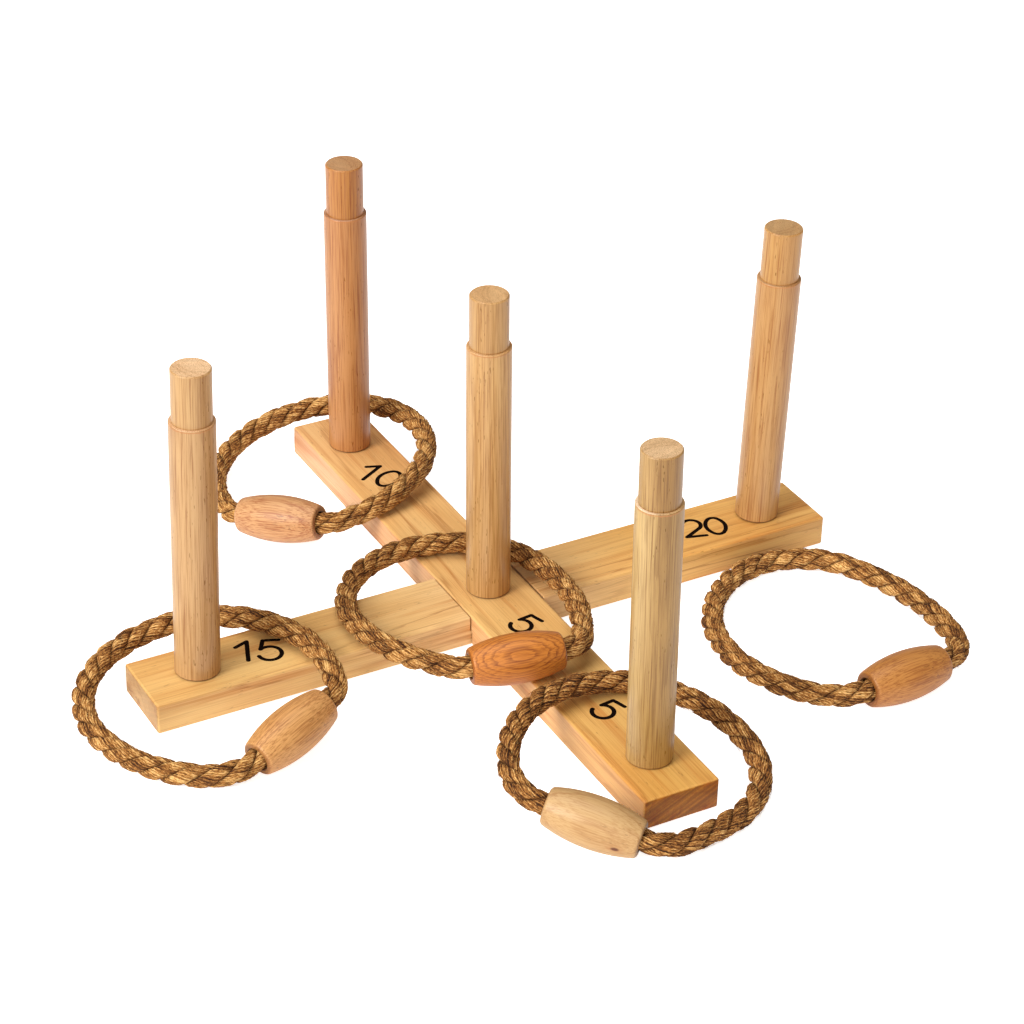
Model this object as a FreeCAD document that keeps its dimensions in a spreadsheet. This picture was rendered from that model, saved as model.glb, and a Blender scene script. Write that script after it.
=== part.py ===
"""Ring toss set: two half-lapped bars, five lift-out pegs and five rope rings with wooden beads.

The set stands on the ground, z = 0, with the crossing of its two bars at the origin. The lower
bar runs along X and the upper bar along Y. All sizes are in millimetres and degrees.
"""

import FreeCAD, Part
import math
import os
import Sketcher

Vector = FreeCAD.Vector

ORIGIN = -1
X_AXIS = -1
Y_AXIS = -2
START = 1
END = 2
CENTRE = 3

SIZES = {
    "bar_length": 600.0,
    "bar_width": 64.0,
    "bar_thickness": 26.0,
    "bar_rounding": 2.0,
    "lap_depth": 13.0,
    "lap_gap": 0.9,
    "lap_rounding": 0.7,
    "peg_offset": 253.0,
    "peg_diameter": 35.5,
    "peg_shaft_length": 221.0,
    "peg_neck_diameter": 31.0,
    "peg_neck_length": 44.0,
    "peg_shoulder_rounding": 0.8,
    "peg_foot_chamfer": 0.8,
    "peg_tip_chamfer": 1.0,
    "tenon_diameter": 30.0,
    "tenon_length": 19.5,
    "tenon_play": 0.3,
    "peg_hole_depth": 20.0,
    "rope_diameter": 18.0,
    "rope_end_gap": 2.0,
    "bead_length": 74.0,
    "bead_diameter": 39.5,
    "bead_end_diameter": 28.0,
    "bead_end_rounding": 3.2,
    "bead_bore_play": 0.2,
    "bead_mouth_rounding": 1.2,
    "bead_straight_half": 38.0,
    "mark_depth": 0.4,
    "mark_pen": 3.6,
    "mark_advance": 19.5,
}

# Each peg leans a little in its loose hole, by lean towards heading.
PEGS = {
    "15": {"lean": 0.85, "heading": -29.0},
    "20": {"lean": 1.15, "heading": -29.0},
    "10": {"lean": 0.65, "heading": 151.0},
    "5": {"lean": 0.65, "heading": 151.0},
    "centre": {"lean": 0.75, "heading": 151.0},
}

# Each ring lies where it fell. Its frame has its origin at the bead's centre, X along the bead
# and Y towards the loop's far side. heading turns X from the set's X axis, pitch lowers the
# bead's +X end and roll raises the far side. The rope runs out of the bead's +X end, round a
# right corner, a right side, the crown, a left side and a left corner, each an arc that touches
# the next. The crown's centre lies at crown_x, crown_y.
RINGS = {
    "10": {"x": -102.0, "y": 175.0, "z": 21.3, "heading": -51.0, "pitch": -8.5, "roll": 5.7,
           "right_corner": 23.0, "right_side": 108.0, "crown": 90.5,
           "crown_x": -1.5, "crown_y": 85.0, "left_side": 101.0, "left_corner": 21.5},
    "15": {"x": -220.5, "y": -100.5, "z": 21.5, "heading": 21.0, "pitch": -9.1, "roll": 2.0,
           "right_corner": 28.0, "right_side": 100.5, "crown": 73.5,
           "crown_x": -19.5, "crown_y": 99.0, "left_side": 126.0, "left_corner": 41.0},
    "centre": {"x": -41.5, "y": -122.0, "z": 45.5, "heading": -12.0, "pitch": -2.0, "roll": -2.8,
               "right_corner": 20.5, "right_side": 163.0, "crown": 82.5,
               "crown_x": -23.0, "crown_y": 105.0, "left_side": 141.0, "left_corner": 21.0},
    "5": {"x": -73.5, "y": -299.0, "z": 21.8, "heading": -46.5, "pitch": 10.0, "roll": 3.9,
          "right_corner": 36.5, "right_side": 198.0, "crown": 71.0,
          "crown_x": 29.5, "crown_y": 87.0, "left_side": 97.0, "left_corner": 38.5},
    "free": {"x": 233.5, "y": -246.5, "z": 20.2, "heading": 4.5, "pitch": 0.6, "roll": -3.1,
             "right_corner": 33.5, "right_side": 197.0, "crown": 67.0,
             "crown_x": 7.0, "crown_y": 132.0, "left_side": 118.0, "left_corner": 45.5},
}

# The scores are sunk in the bars' top faces beside the pegs. heading is the reading direction.
MARKS = {
    "fifteen": {"x": -201.6, "y": 2.3, "heading": -21.0, "height": 26.0},
    "twenty": {"x": 202.4, "y": -0.2, "heading": -16.0, "height": 25.0},
    "ten": {"x": -1.5, "y": 193.5, "heading": -60.0, "height": 26.0},
    "centre_five": {"x": 1.5, "y": -58.4, "heading": -72.0, "height": 24.0},
    "front_five": {"x": 1.5, "y": -187.7, "heading": -72.0, "height": 24.0},
}


# The document and its sheet

def flat_sizes():
    """All driving dimensions as one name-to-value table."""
    values = dict(SIZES)
    for prefix, group in (("peg", PEGS), ("ring", RINGS), ("mark", MARKS)):
        for name, entries in group.items():
            for key, value in entries.items():
                values[f"{prefix}_{name}_{key}"] = value
    return values


def make_sheet(doc):
    """Put every driving dimension in its own cell, named by an alias."""
    sheet = doc.addObject("Spreadsheet::Sheet", "Sizes")
    for row, (name, value) in enumerate(flat_sizes().items(), start=1):
        sheet.set(f"A{row}", name)
        sheet.set(f"B{row}", str(value))
        sheet.setAlias(f"B{row}", name)
    doc.recompute()
    return sheet


# Sketches and their constraints

def new_body(doc, label):
    body = doc.addObject("PartDesign::Body", label)
    body.Label = label
    return body


def sketch_on(body, name, role, offset=None):
    """A sketch on one of the body's origin planes, raised along its normal by an expression."""
    plane = next(item for item in body.Origin.OriginFeatures if item.Role == role)
    sketch = body.newObject("Sketcher::SketchObject", name)
    sketch.AttachmentSupport = [(plane, "")]
    sketch.MapMode = "FlatFace"
    if offset:
        sketch.setExpression("AttachmentOffset.Base.z", offset)
    return sketch


def constrain(sketch, kind, *where):
    sketch.addConstraint(Sketcher.Constraint(kind, *where))


def drive(sketch, name, expression, kind, *where):
    """A dimension whose value comes from the sheet."""
    index = sketch.addConstraint(Sketcher.Constraint(kind, *where))
    sketch.renameConstraint(index, name)
    sketch.setExpression(f"Constraints.{name}", expression)


def add_line(sketch, start, end):
    return sketch.addGeometry(Part.LineSegment(Vector(*start), Vector(*end)))


def centred_rectangle(sketch, length, width, size):
    """A rectangle about the sketch's origin, with its two sides driven by expressions."""
    x, y = size[0] / 2, size[1] / 2
    corners = [(-x, -y), (x, -y), (x, y), (-x, y)]
    sides = [add_line(sketch, corners[i], corners[(i + 1) % 4]) for i in range(4)]
    for i, side in enumerate(sides):
        constrain(sketch, "Coincident", side, END, sides[(i + 1) % 4], START)
        constrain(sketch, "Horizontal" if i % 2 == 0 else "Vertical", side)
    constrain(sketch, "Symmetric", sides[0], START, sides[2], START, ORIGIN, START)
    drive(sketch, "length", length, "DistanceX", sides[0], START, sides[0], END, 2 * x)
    drive(sketch, "width", width, "DistanceY", sides[1], START, sides[1], END, 2 * y)


def centred_circle(sketch, diameter, size):
    circle = sketch.addGeometry(Part.Circle(Vector(0, 0, 0), Vector(0, 0, 1), size / 2))
    constrain(sketch, "Coincident", circle, CENTRE, ORIGIN, START)
    drive(sketch, "diameter", diameter, "Diameter", circle, size)
    return circle


# Features

def pad(body, sketch, length):
    feature = body.newObject("PartDesign::Pad", f"{sketch.Name}_pad")
    feature.Profile = sketch
    feature.setExpression("Length", length)
    return feature


def pocket(body, sketch, depth, upwards=False):
    """Cut a sketch down, or up, to a driven depth."""
    feature = body.newObject("PartDesign::Pocket", f"{sketch.Name}_pocket")
    feature.Profile = sketch
    feature.Reversed = upwards
    feature.setExpression("Length", depth)
    return feature


def dress_edges(body, kind, base, wanted, property_name, expression):
    """Fillet or chamfer those edges of a feature for which wanted(edge) is true."""
    base.Document.recompute()
    names = [f"Edge{i}" for i, edge in enumerate(base.Shape.Edges, start=1) if wanted(edge)]
    if not names:
        raise ValueError(f"no edge of {base.Name} matches")
    feature = body.newObject(f"PartDesign::{kind}", f"{base.Name}_{kind.lower()}")
    feature.Base = (base, names)
    feature.setExpression(property_name, expression)
    return feature


def near(value, target):
    return abs(value - target) < 0.01


# The two bars

def peg_holes(body, sizes):
    """Three holes for tenons, sunk from above: one at the crossing and one near each end."""
    sketch = sketch_on(body, f"{body.Name}_holes", "XY_Plane", "Sizes.bar_thickness")
    diameter = "Sizes.tenon_diameter + 2 * Sizes.tenon_play"
    radius = sizes.tenon_diameter / 2 + sizes.tenon_play
    middle = centred_circle(sketch, diameter, 2 * radius)
    for side, name in ((-1, "left"), (1, "right")):
        place = Vector(side * sizes.peg_offset, 0, 0)
        hole = sketch.addGeometry(Part.Circle(place, Vector(0, 0, 1), radius))
        constrain(sketch, "PointOnObject", hole, CENTRE, X_AXIS)
        constrain(sketch, "Equal", middle, hole)
        ends = (ORIGIN, START, hole, CENTRE) if side > 0 else (hole, CENTRE, ORIGIN, START)
        drive(sketch, name, "Sizes.peg_offset", "DistanceX", *ends, sizes.peg_offset)
    return pocket(body, sketch, "Sizes.peg_hole_depth")


def bar_blank(doc, name, sizes, notched_on_top):
    """A rounded bar along X with its half-lap notch above or below and its peg holes."""
    body = new_body(doc, name)
    plan = sketch_on(body, f"{name}_plan", "XY_Plane")
    centred_rectangle(plan, "Sizes.bar_length", "Sizes.bar_width",
                      (sizes.bar_length, sizes.bar_width))
    block = pad(body, plan, "Sizes.bar_thickness")
    dress_edges(body, "Fillet", block, lambda edge: True, "Radius", "Sizes.bar_rounding")

    level = sizes.bar_thickness if notched_on_top else 0.0
    notch = sketch_on(body, f"{name}_notch", "XY_Plane",
                      "Sizes.bar_thickness" if notched_on_top else None)
    centred_rectangle(notch, "Sizes.bar_width + 2 * Sizes.lap_gap", "2 * Sizes.bar_width",
                      (sizes.bar_width + 2 * sizes.lap_gap, 2 * sizes.bar_width))
    cut = pocket(body, notch, "Sizes.lap_depth", upwards=not notched_on_top)
    half_notch = sizes.bar_width / 2 + sizes.lap_gap

    def is_mouth(edge):
        middle = edge.CenterOfMass
        return near(abs(middle.x), half_notch) and near(middle.z, level)

    dress_edges(body, "Fillet", cut, is_mouth, "Radius", "Sizes.lap_rounding")
    peg_holes(body, sizes)
    return body


# The scores

def pen_path(height, *pieces):
    """Join pieces of a figure, each a line of two points or an arc through three."""
    edges = []
    for points in pieces:
        ends = [Vector(x * height, y * height, 0) for x, y in points]
        edge = Part.LineSegment(*ends) if len(ends) == 2 else Part.Arc(*ends)
        edges.append(edge.toShape())
    return Part.Wire(edges)


def figure_one(height):
    tip, top, foot = (-0.27, 0.21), (0.08, 0.5), (0.08, -0.5)
    return pen_path(height, (tip, top), (top, foot))


def figure_two(height):
    hook, top, waist = (-0.31, 0.19), (0.0, 0.5), (0.21, -0.04)
    heel, toe = (-0.33, -0.5), (0.33, -0.5)
    return pen_path(height, (hook, top, waist), (waist, heel), (heel, toe))


def figure_five(height):
    flag, corner, neck = (0.29, 0.5), (-0.19, 0.5), (-0.28, 0.04)
    bowl, tail = (0.34, -0.16), (-0.34, -0.31)
    return pen_path(height, (flag, corner), (corner, neck), (neck, bowl, tail))


def figure_zero(height):
    """An upright oval of four arcs, with tight ends and long sides that meet smoothly."""
    wide, tall, tight = 0.33, 0.5, 0.22
    long = (wide ** 2 + tall ** 2 - 2 * tall * tight) / (2 * (wide - tight))
    reach = tight / (long - tight)
    x, y = (long - wide) * reach, (tall - tight) * (1 + reach)
    return pen_path(height, ((x, y), (0, tall), (-x, y)), ((-x, y), (-wide, 0), (-x, -y)),
                    ((-x, -y), (0, -tall), (x, -y)), ((x, -y), (wide, 0), (x, y)))


def pen_stroke(path, pen):
    """The flat shape left by a round pen of the given width drawn along a path."""
    outer = Part.Face(path.makeOffset2D(pen / 2, 0, False, False, False))
    if not path.isClosed():
        return outer
    return outer.cut(Part.Face(path.makeOffset2D(-pen / 2, 0, False, False, False)))


FIGURES = {
    "fifteen": (figure_one, figure_five),
    "twenty": (figure_two, figure_zero),
    "ten": (figure_one, figure_zero),
    "centre_five": (figure_five,),
    "front_five": (figure_five,),
}


def mark_tool(name, sizes):
    """The solid that sinks one score: pen strokes of even width, side by side."""
    def cell(key):
        return getattr(sizes, f"mark_{name}_{key}")

    clearance = 1.0
    depth = sizes.mark_depth + clearance
    figures = FIGURES[name]
    strokes = []
    for i, figure in enumerate(figures):
        shift = Vector((i - (len(figures) - 1) / 2) * sizes.mark_advance, 0, 0)
        face = pen_stroke(figure(cell("height")), sizes.mark_pen)
        face.translate(shift)
        strokes.append(face.extrude(Vector(0, 0, depth)))
    tool = Part.makeCompound(strokes)
    floor = sizes.bar_thickness - sizes.mark_depth
    turn = FreeCAD.Rotation(Vector(0, 0, 1), cell("heading"))
    tool.Placement = FreeCAD.Placement(Vector(cell("x"), cell("y"), floor), turn)
    return tool


def marked_bar(doc, label, blank, marks, sizes):
    """Sink the scores in a finished blank."""
    tool = doc.addObject("Part::Feature", f"{label}_scores")
    tool.Shape = Part.makeCompound([mark_tool(name, sizes) for name in marks])
    bar = doc.addObject("Part::Cut", label)
    bar.Label = label
    bar.Base = blank
    bar.Tool = tool
    return bar


def make_bars(doc, sizes):
    lower = bar_blank(doc, "lower_bar_blank", sizes, notched_on_top=True)
    upper = bar_blank(doc, "upper_bar_blank", sizes, notched_on_top=False)
    quarter_turn = FreeCAD.Rotation(Vector(0, 0, 1), 90)
    upper.Placement = FreeCAD.Placement(Vector(0, 0, 0), quarter_turn)
    return [
        marked_bar(doc, "lower_bar", lower, ("fifteen", "twenty"), sizes),
        marked_bar(doc, "upper_bar", upper, ("ten", "centre_five", "front_five"), sizes),
    ]


# The pegs

def round_pad(body, name, diameter, size, bottom, length):
    """A cylinder on the body's Z axis, from bottom upwards."""
    sketch = sketch_on(body, f"{body.Name}_{name}", "XY_Plane", bottom)
    centred_circle(sketch, diameter, size)
    return pad(body, sketch, length)


def turned_peg(doc, label, sizes):
    """A tenon, a thicker shaft on its shoulder and a thinner neck, with z = 0 at the foot."""
    body = new_body(doc, label)
    round_pad(body, "tenon", "Sizes.tenon_diameter", sizes.tenon_diameter,
              "-Sizes.tenon_length", "Sizes.tenon_length")
    round_pad(body, "shaft", "Sizes.peg_diameter", sizes.peg_diameter,
              None, "Sizes.peg_shaft_length")
    neck = round_pad(body, "neck", "Sizes.peg_neck_diameter", sizes.peg_neck_diameter,
                     "Sizes.peg_shaft_length", "Sizes.peg_neck_length")
    foot = 0.0
    shoulder = sizes.peg_shaft_length
    tip = shoulder + sizes.peg_neck_length

    def rim_at(level, diameter):
        def wanted(edge):
            is_circle = isinstance(edge.Curve, Part.Circle)
            return is_circle and near(edge.CenterOfMass.z, level) and near(
                edge.Curve.Radius, diameter / 2)
        return wanted

    rounded = dress_edges(body, "Fillet", neck, rim_at(shoulder, sizes.peg_diameter),
                          "Radius", "Sizes.peg_shoulder_rounding")
    eased = dress_edges(body, "Chamfer", rounded, rim_at(foot, sizes.peg_diameter),
                        "Size", "Sizes.peg_foot_chamfer")
    tips = (rim_at(tip, sizes.peg_neck_diameter),
            rim_at(-sizes.tenon_length, sizes.tenon_diameter))
    dress_edges(body, "Chamfer", eased, lambda edge: any(test(edge) for test in tips),
                "Size", "Sizes.peg_tip_chamfer")
    return body


def make_peg(doc, peg, sizes, x="0", y="0"):
    """A peg in its hole: it stands on the low side of its foot, its tenon's middle centred."""
    body = turned_peg(doc, f"peg_{peg}", sizes)
    lean, heading = (f"Sizes.peg_{peg}_{key}" for key in ("lean", "heading"))
    angle = math.radians(getattr(sizes, f"peg_{peg}_heading"))
    hinge = Vector(-math.sin(angle), math.cos(angle), 0)
    turn = FreeCAD.Rotation(hinge, getattr(sizes, f"peg_{peg}_lean"))
    body.Placement = FreeCAD.Placement(Vector(0, 0, 0), turn)
    aside = f"Sizes.tenon_length / 2 * sin({lean})"
    lift = f"(Sizes.peg_diameter / 2 - Sizes.peg_foot_chamfer) * sin({lean})"
    body.setExpression("Placement.Base.x", f"{x} + {aside} * cos({heading})")
    body.setExpression("Placement.Base.y", f"{y} + {aside} * sin({heading})")
    body.setExpression("Placement.Base.z", f"Sizes.bar_thickness + {lift}")
    return body


def make_pegs(doc, sizes):
    return [
        make_peg(doc, "15", sizes, x="-Sizes.peg_offset"),
        make_peg(doc, "20", sizes, x="Sizes.peg_offset"),
        make_peg(doc, "10", sizes, y="Sizes.peg_offset"),
        make_peg(doc, "5", sizes, y="-Sizes.peg_offset"),
        make_peg(doc, "centre", sizes),
    ]


# The rings

def place_ring_piece(body, ring, sizes):
    """Lay a bead or rope, made in its ring's frame, where that ring lies."""
    angles = [getattr(sizes, f"ring_{ring}_{key}") for key in ("heading", "pitch", "roll")]
    body.Placement = FreeCAD.Placement(Vector(0, 0, 0), FreeCAD.Rotation(*angles))
    for axis in "xyz":
        body.setExpression(f"Placement.Base.{axis}", f"Sizes.ring_{ring}_{axis}")


def make_bead(doc, ring, sizes):
    """A barrel-shaped bead turned about X, with a straight bore and rounded ends."""
    body = new_body(doc, f"bead_{ring}")
    half, end = sizes.bead_length / 2, sizes.bead_end_diameter / 2
    bore = sizes.rope_diameter / 2 + sizes.bead_bore_play
    crown = (sizes.bead_diameter - sizes.bead_end_diameter) / 2
    sketch = sketch_on(body, f"bead_{ring}_profile", "XY_Plane")
    inside = add_line(sketch, (-half, bore), (half, bore))
    right = add_line(sketch, (half, bore), (half, end))
    barrel = sketch.addGeometry(
        Part.Arc(Vector(half, end, 0), Vector(0, end + crown, 0), Vector(-half, end, 0)))
    left = add_line(sketch, (-half, end), (-half, bore))
    constrain(sketch, "Coincident", inside, END, right, START)
    constrain(sketch, "Coincident", right, END, barrel, START)
    constrain(sketch, "Coincident", barrel, END, left, START)
    constrain(sketch, "Coincident", left, END, inside, START)
    constrain(sketch, "Vertical", right)
    constrain(sketch, "Vertical", left)
    constrain(sketch, "Symmetric", inside, START, inside, END, Y_AXIS)
    constrain(sketch, "PointOnObject", barrel, CENTRE, Y_AXIS)
    drive(sketch, "length", "Sizes.bead_length", "DistanceX",
          inside, START, inside, END, 2 * half)
    drive(sketch, "bore", "Sizes.rope_diameter / 2 + Sizes.bead_bore_play", "DistanceY",
          ORIGIN, START, inside, START, bore)
    drive(sketch, "rim", "Sizes.bead_end_diameter / 2", "DistanceY",
          ORIGIN, START, left, START, end)
    rise = "(Sizes.bead_diameter - Sizes.bead_end_diameter)"
    drive(sketch, "barrel", f"Sizes.bead_length ^ 2 / (4 * {rise}) + {rise} / 4", "Radius",
          barrel, half ** 2 / (2 * crown) + crown / 2)
    turned = body.newObject("PartDesign::Revolution", f"bead_{ring}_turned")
    turned.Profile = sketch
    turned.ReferenceAxis = (sketch, ["H_Axis"])
    turned.Angle = 360

    def rim_of(radius):
        def wanted(edge):
            is_circle = isinstance(edge.Curve, Part.Circle)
            return is_circle and near(abs(edge.CenterOfMass.x), half) and near(
                edge.Curve.Radius, radius)
        return wanted

    rounded = dress_edges(body, "Fillet", turned, rim_of(end),
                          "Radius", "Sizes.bead_end_rounding")
    dress_edges(body, "Fillet", rounded, rim_of(bore), "Radius", "Sizes.bead_mouth_rounding")
    place_ring_piece(body, ring, sizes)
    return body


def half_loop(corner, side, crown, crown_x, crown_y, straight):
    """Centres of the corner, side and crown arcs of a loop's right half, and their two joints.

    The corner arc leaves the bead's axis at the straight's end. The side arc touches both it
    and the crown arc, so its centre lies side - corner from the one's centre and
    side - crown from the other's, and each joint lies on the line through two centres.
    """
    corner_centre = Vector(straight, corner, 0)
    crown_centre = Vector(crown_x, crown_y, 0)
    across = crown_centre - corner_centre
    span = across.Length
    along = ((side - corner) ** 2 - (side - crown) ** 2 + span ** 2) / (2 * span)
    aside = math.copysign(math.sqrt((side - corner) ** 2 - along ** 2), side - crown)
    unit = across / span
    side_centre = corner_centre + unit * along + Vector(-unit.y, unit.x, 0) * aside
    low = corner_centre + (corner_centre - side_centre) * (corner / (side - corner))
    high = crown_centre + (crown_centre - side_centre) * (crown / (side - crown))
    return corner_centre, side_centre, crown_centre, low, high


def mirrored(points):
    return [Vector(-point.x, point.y, 0) for point in points]


def loop_path(sketch, ring, sizes):
    """The rope's centre line: out of the bead, round the loop and back into the bead."""
    def cell(key):
        return getattr(sizes, f"ring_{ring}_{key}")

    straight, gap = sizes.bead_straight_half, sizes.rope_end_gap / 2
    crown, crown_x, crown_y = cell("crown"), cell("crown_x"), cell("crown_y")
    right = half_loop(cell("right_corner"), cell("right_side"), crown, crown_x, crown_y,
                      straight)
    left = mirrored(half_loop(cell("left_corner"), cell("left_side"), crown, -crown_x,
                              crown_y, straight))

    def add_arc(centre, radius, start, end):
        first = math.atan2(start.y - centre.y, start.x - centre.x)
        last = math.atan2(end.y - centre.y, end.x - centre.x)
        if last < first:
            last += 2 * math.pi
        circle = Part.Circle(centre, Vector(0, 0, 1), radius)
        return sketch.addGeometry(Part.ArcOfCircle(circle, first, last))

    leaving = add_line(sketch, (gap, 0), (straight, 0))
    right_corner = add_arc(right[0], cell("right_corner"), Vector(straight, 0, 0), right[3])
    right_side = add_arc(right[1], cell("right_side"), right[3], right[4])
    far_side = add_arc(right[2], crown, right[4], left[4])
    left_side = add_arc(left[1], cell("left_side"), left[4], left[3])
    left_corner = add_arc(left[0], cell("left_corner"), left[3], Vector(-straight, 0, 0))
    returning = add_line(sketch, (-straight, 0), (-gap, 0))
    pieces = [leaving, right_corner, right_side, far_side, left_side, left_corner, returning]
    for before, after in zip(pieces, pieces[1:]):
        constrain(sketch, "Tangent", before, END, after, START)
    constrain(sketch, "PointOnObject", leaving, START, X_AXIS)
    constrain(sketch, "PointOnObject", leaving, END, X_AXIS)
    constrain(sketch, "Symmetric", leaving, START, returning, END, Y_AXIS)
    constrain(sketch, "Symmetric", leaving, END, returning, START, Y_AXIS)
    drive(sketch, "gap", "Sizes.rope_end_gap / 2", "DistanceX",
          ORIGIN, START, leaving, START, gap)
    drive(sketch, "straight", "Sizes.bead_straight_half", "DistanceX",
          ORIGIN, START, leaving, END, straight)
    arcs = (("right_corner", right_corner), ("right_side", right_side), ("crown", far_side),
            ("left_side", left_side), ("left_corner", left_corner))
    for key, arc in arcs:
        drive(sketch, key, f"Sizes.ring_{ring}_{key}", "Radius", arc, cell(key))
    drive(sketch, "crown_x", f"Sizes.bead_straight_half + Sizes.ring_{ring}_crown_x",
          "DistanceX", returning, START, far_side, CENTRE, straight + crown_x)
    drive(sketch, "crown_y", f"Sizes.ring_{ring}_crown_y", "DistanceY",
          ORIGIN, START, far_side, CENTRE, crown_y)


def make_rope(doc, ring, sizes):
    """A round rope bent into a loop, with its two ends facing each other inside the bead."""
    body = new_body(doc, f"rope_{ring}")
    path = sketch_on(body, f"rope_{ring}_path", "XY_Plane")
    loop_path(path, ring, sizes)
    section = sketch_on(body, f"rope_{ring}_section", "YZ_Plane", "Sizes.rope_end_gap / 2")
    centred_circle(section, "Sizes.rope_diameter", sizes.rope_diameter)
    pipe = body.newObject("PartDesign::AdditivePipe", f"rope_{ring}_pipe")
    pipe.Profile = section
    pipe.Spine = (path, [])
    place_ring_piece(body, ring, sizes)
    return body


def make_rings(doc, sizes):
    makers = (make_bead, make_rope)
    return [make(doc, ring, sizes) for ring in RINGS for make in makers]


# Checks and files

def check(doc, nodes):
    """Stop unless every object recomputed and every piece is one valid solid."""
    for item in doc.Objects:
        if "Invalid" in item.State or "Error" in item.State:
            raise RuntimeError(f"{item.Name} did not recompute: {item.State}")
    for node in nodes:
        shape = node.Shape
        if shape.isNull() or not shape.isValid() or len(shape.Solids) != 1:
            raise RuntimeError(f"{node.Label} is not one valid solid")


def main():
    doc = FreeCAD.newDocument("RingTossSet")
    sizes = make_sheet(doc)
    nodes = make_bars(doc, sizes) + make_pegs(doc, sizes) + make_rings(doc, sizes)
    doc.recompute()
    check(doc, nodes)
    os.makedirs("parts", exist_ok=True)
    for node in nodes:
        node.Shape.exportStep(f"parts/{node.Label}.step")
        box = node.Shape.BoundBox
        print(f"{node.Label}: {node.Shape.Volume:.0f} mm3, z {box.ZMin:.2f} to {box.ZMax:.2f}")


main()
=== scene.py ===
"""The looks of the ring toss set: wood, sunk scores, laid rope, light and camera. In metres."""

import math

import bpy
import numpy as np
from mathutils import Matrix, Vector


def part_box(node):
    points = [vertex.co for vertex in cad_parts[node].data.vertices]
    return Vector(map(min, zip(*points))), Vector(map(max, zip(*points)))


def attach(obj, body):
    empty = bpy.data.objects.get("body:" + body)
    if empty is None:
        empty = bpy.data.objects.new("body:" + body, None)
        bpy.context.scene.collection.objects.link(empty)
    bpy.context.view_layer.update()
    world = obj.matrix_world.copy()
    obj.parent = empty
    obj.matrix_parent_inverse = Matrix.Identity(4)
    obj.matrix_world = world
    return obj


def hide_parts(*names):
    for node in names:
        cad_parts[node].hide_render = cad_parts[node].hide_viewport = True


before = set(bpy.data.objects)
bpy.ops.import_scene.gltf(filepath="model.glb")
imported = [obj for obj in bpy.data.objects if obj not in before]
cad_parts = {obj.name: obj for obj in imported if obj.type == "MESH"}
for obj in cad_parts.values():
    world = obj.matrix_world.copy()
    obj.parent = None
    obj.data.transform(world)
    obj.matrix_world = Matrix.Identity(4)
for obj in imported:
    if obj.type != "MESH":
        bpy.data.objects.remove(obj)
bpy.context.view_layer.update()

MM = 0.001
RINGS = ("10", "15", "centre", "5", "free")


# Materials

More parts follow.
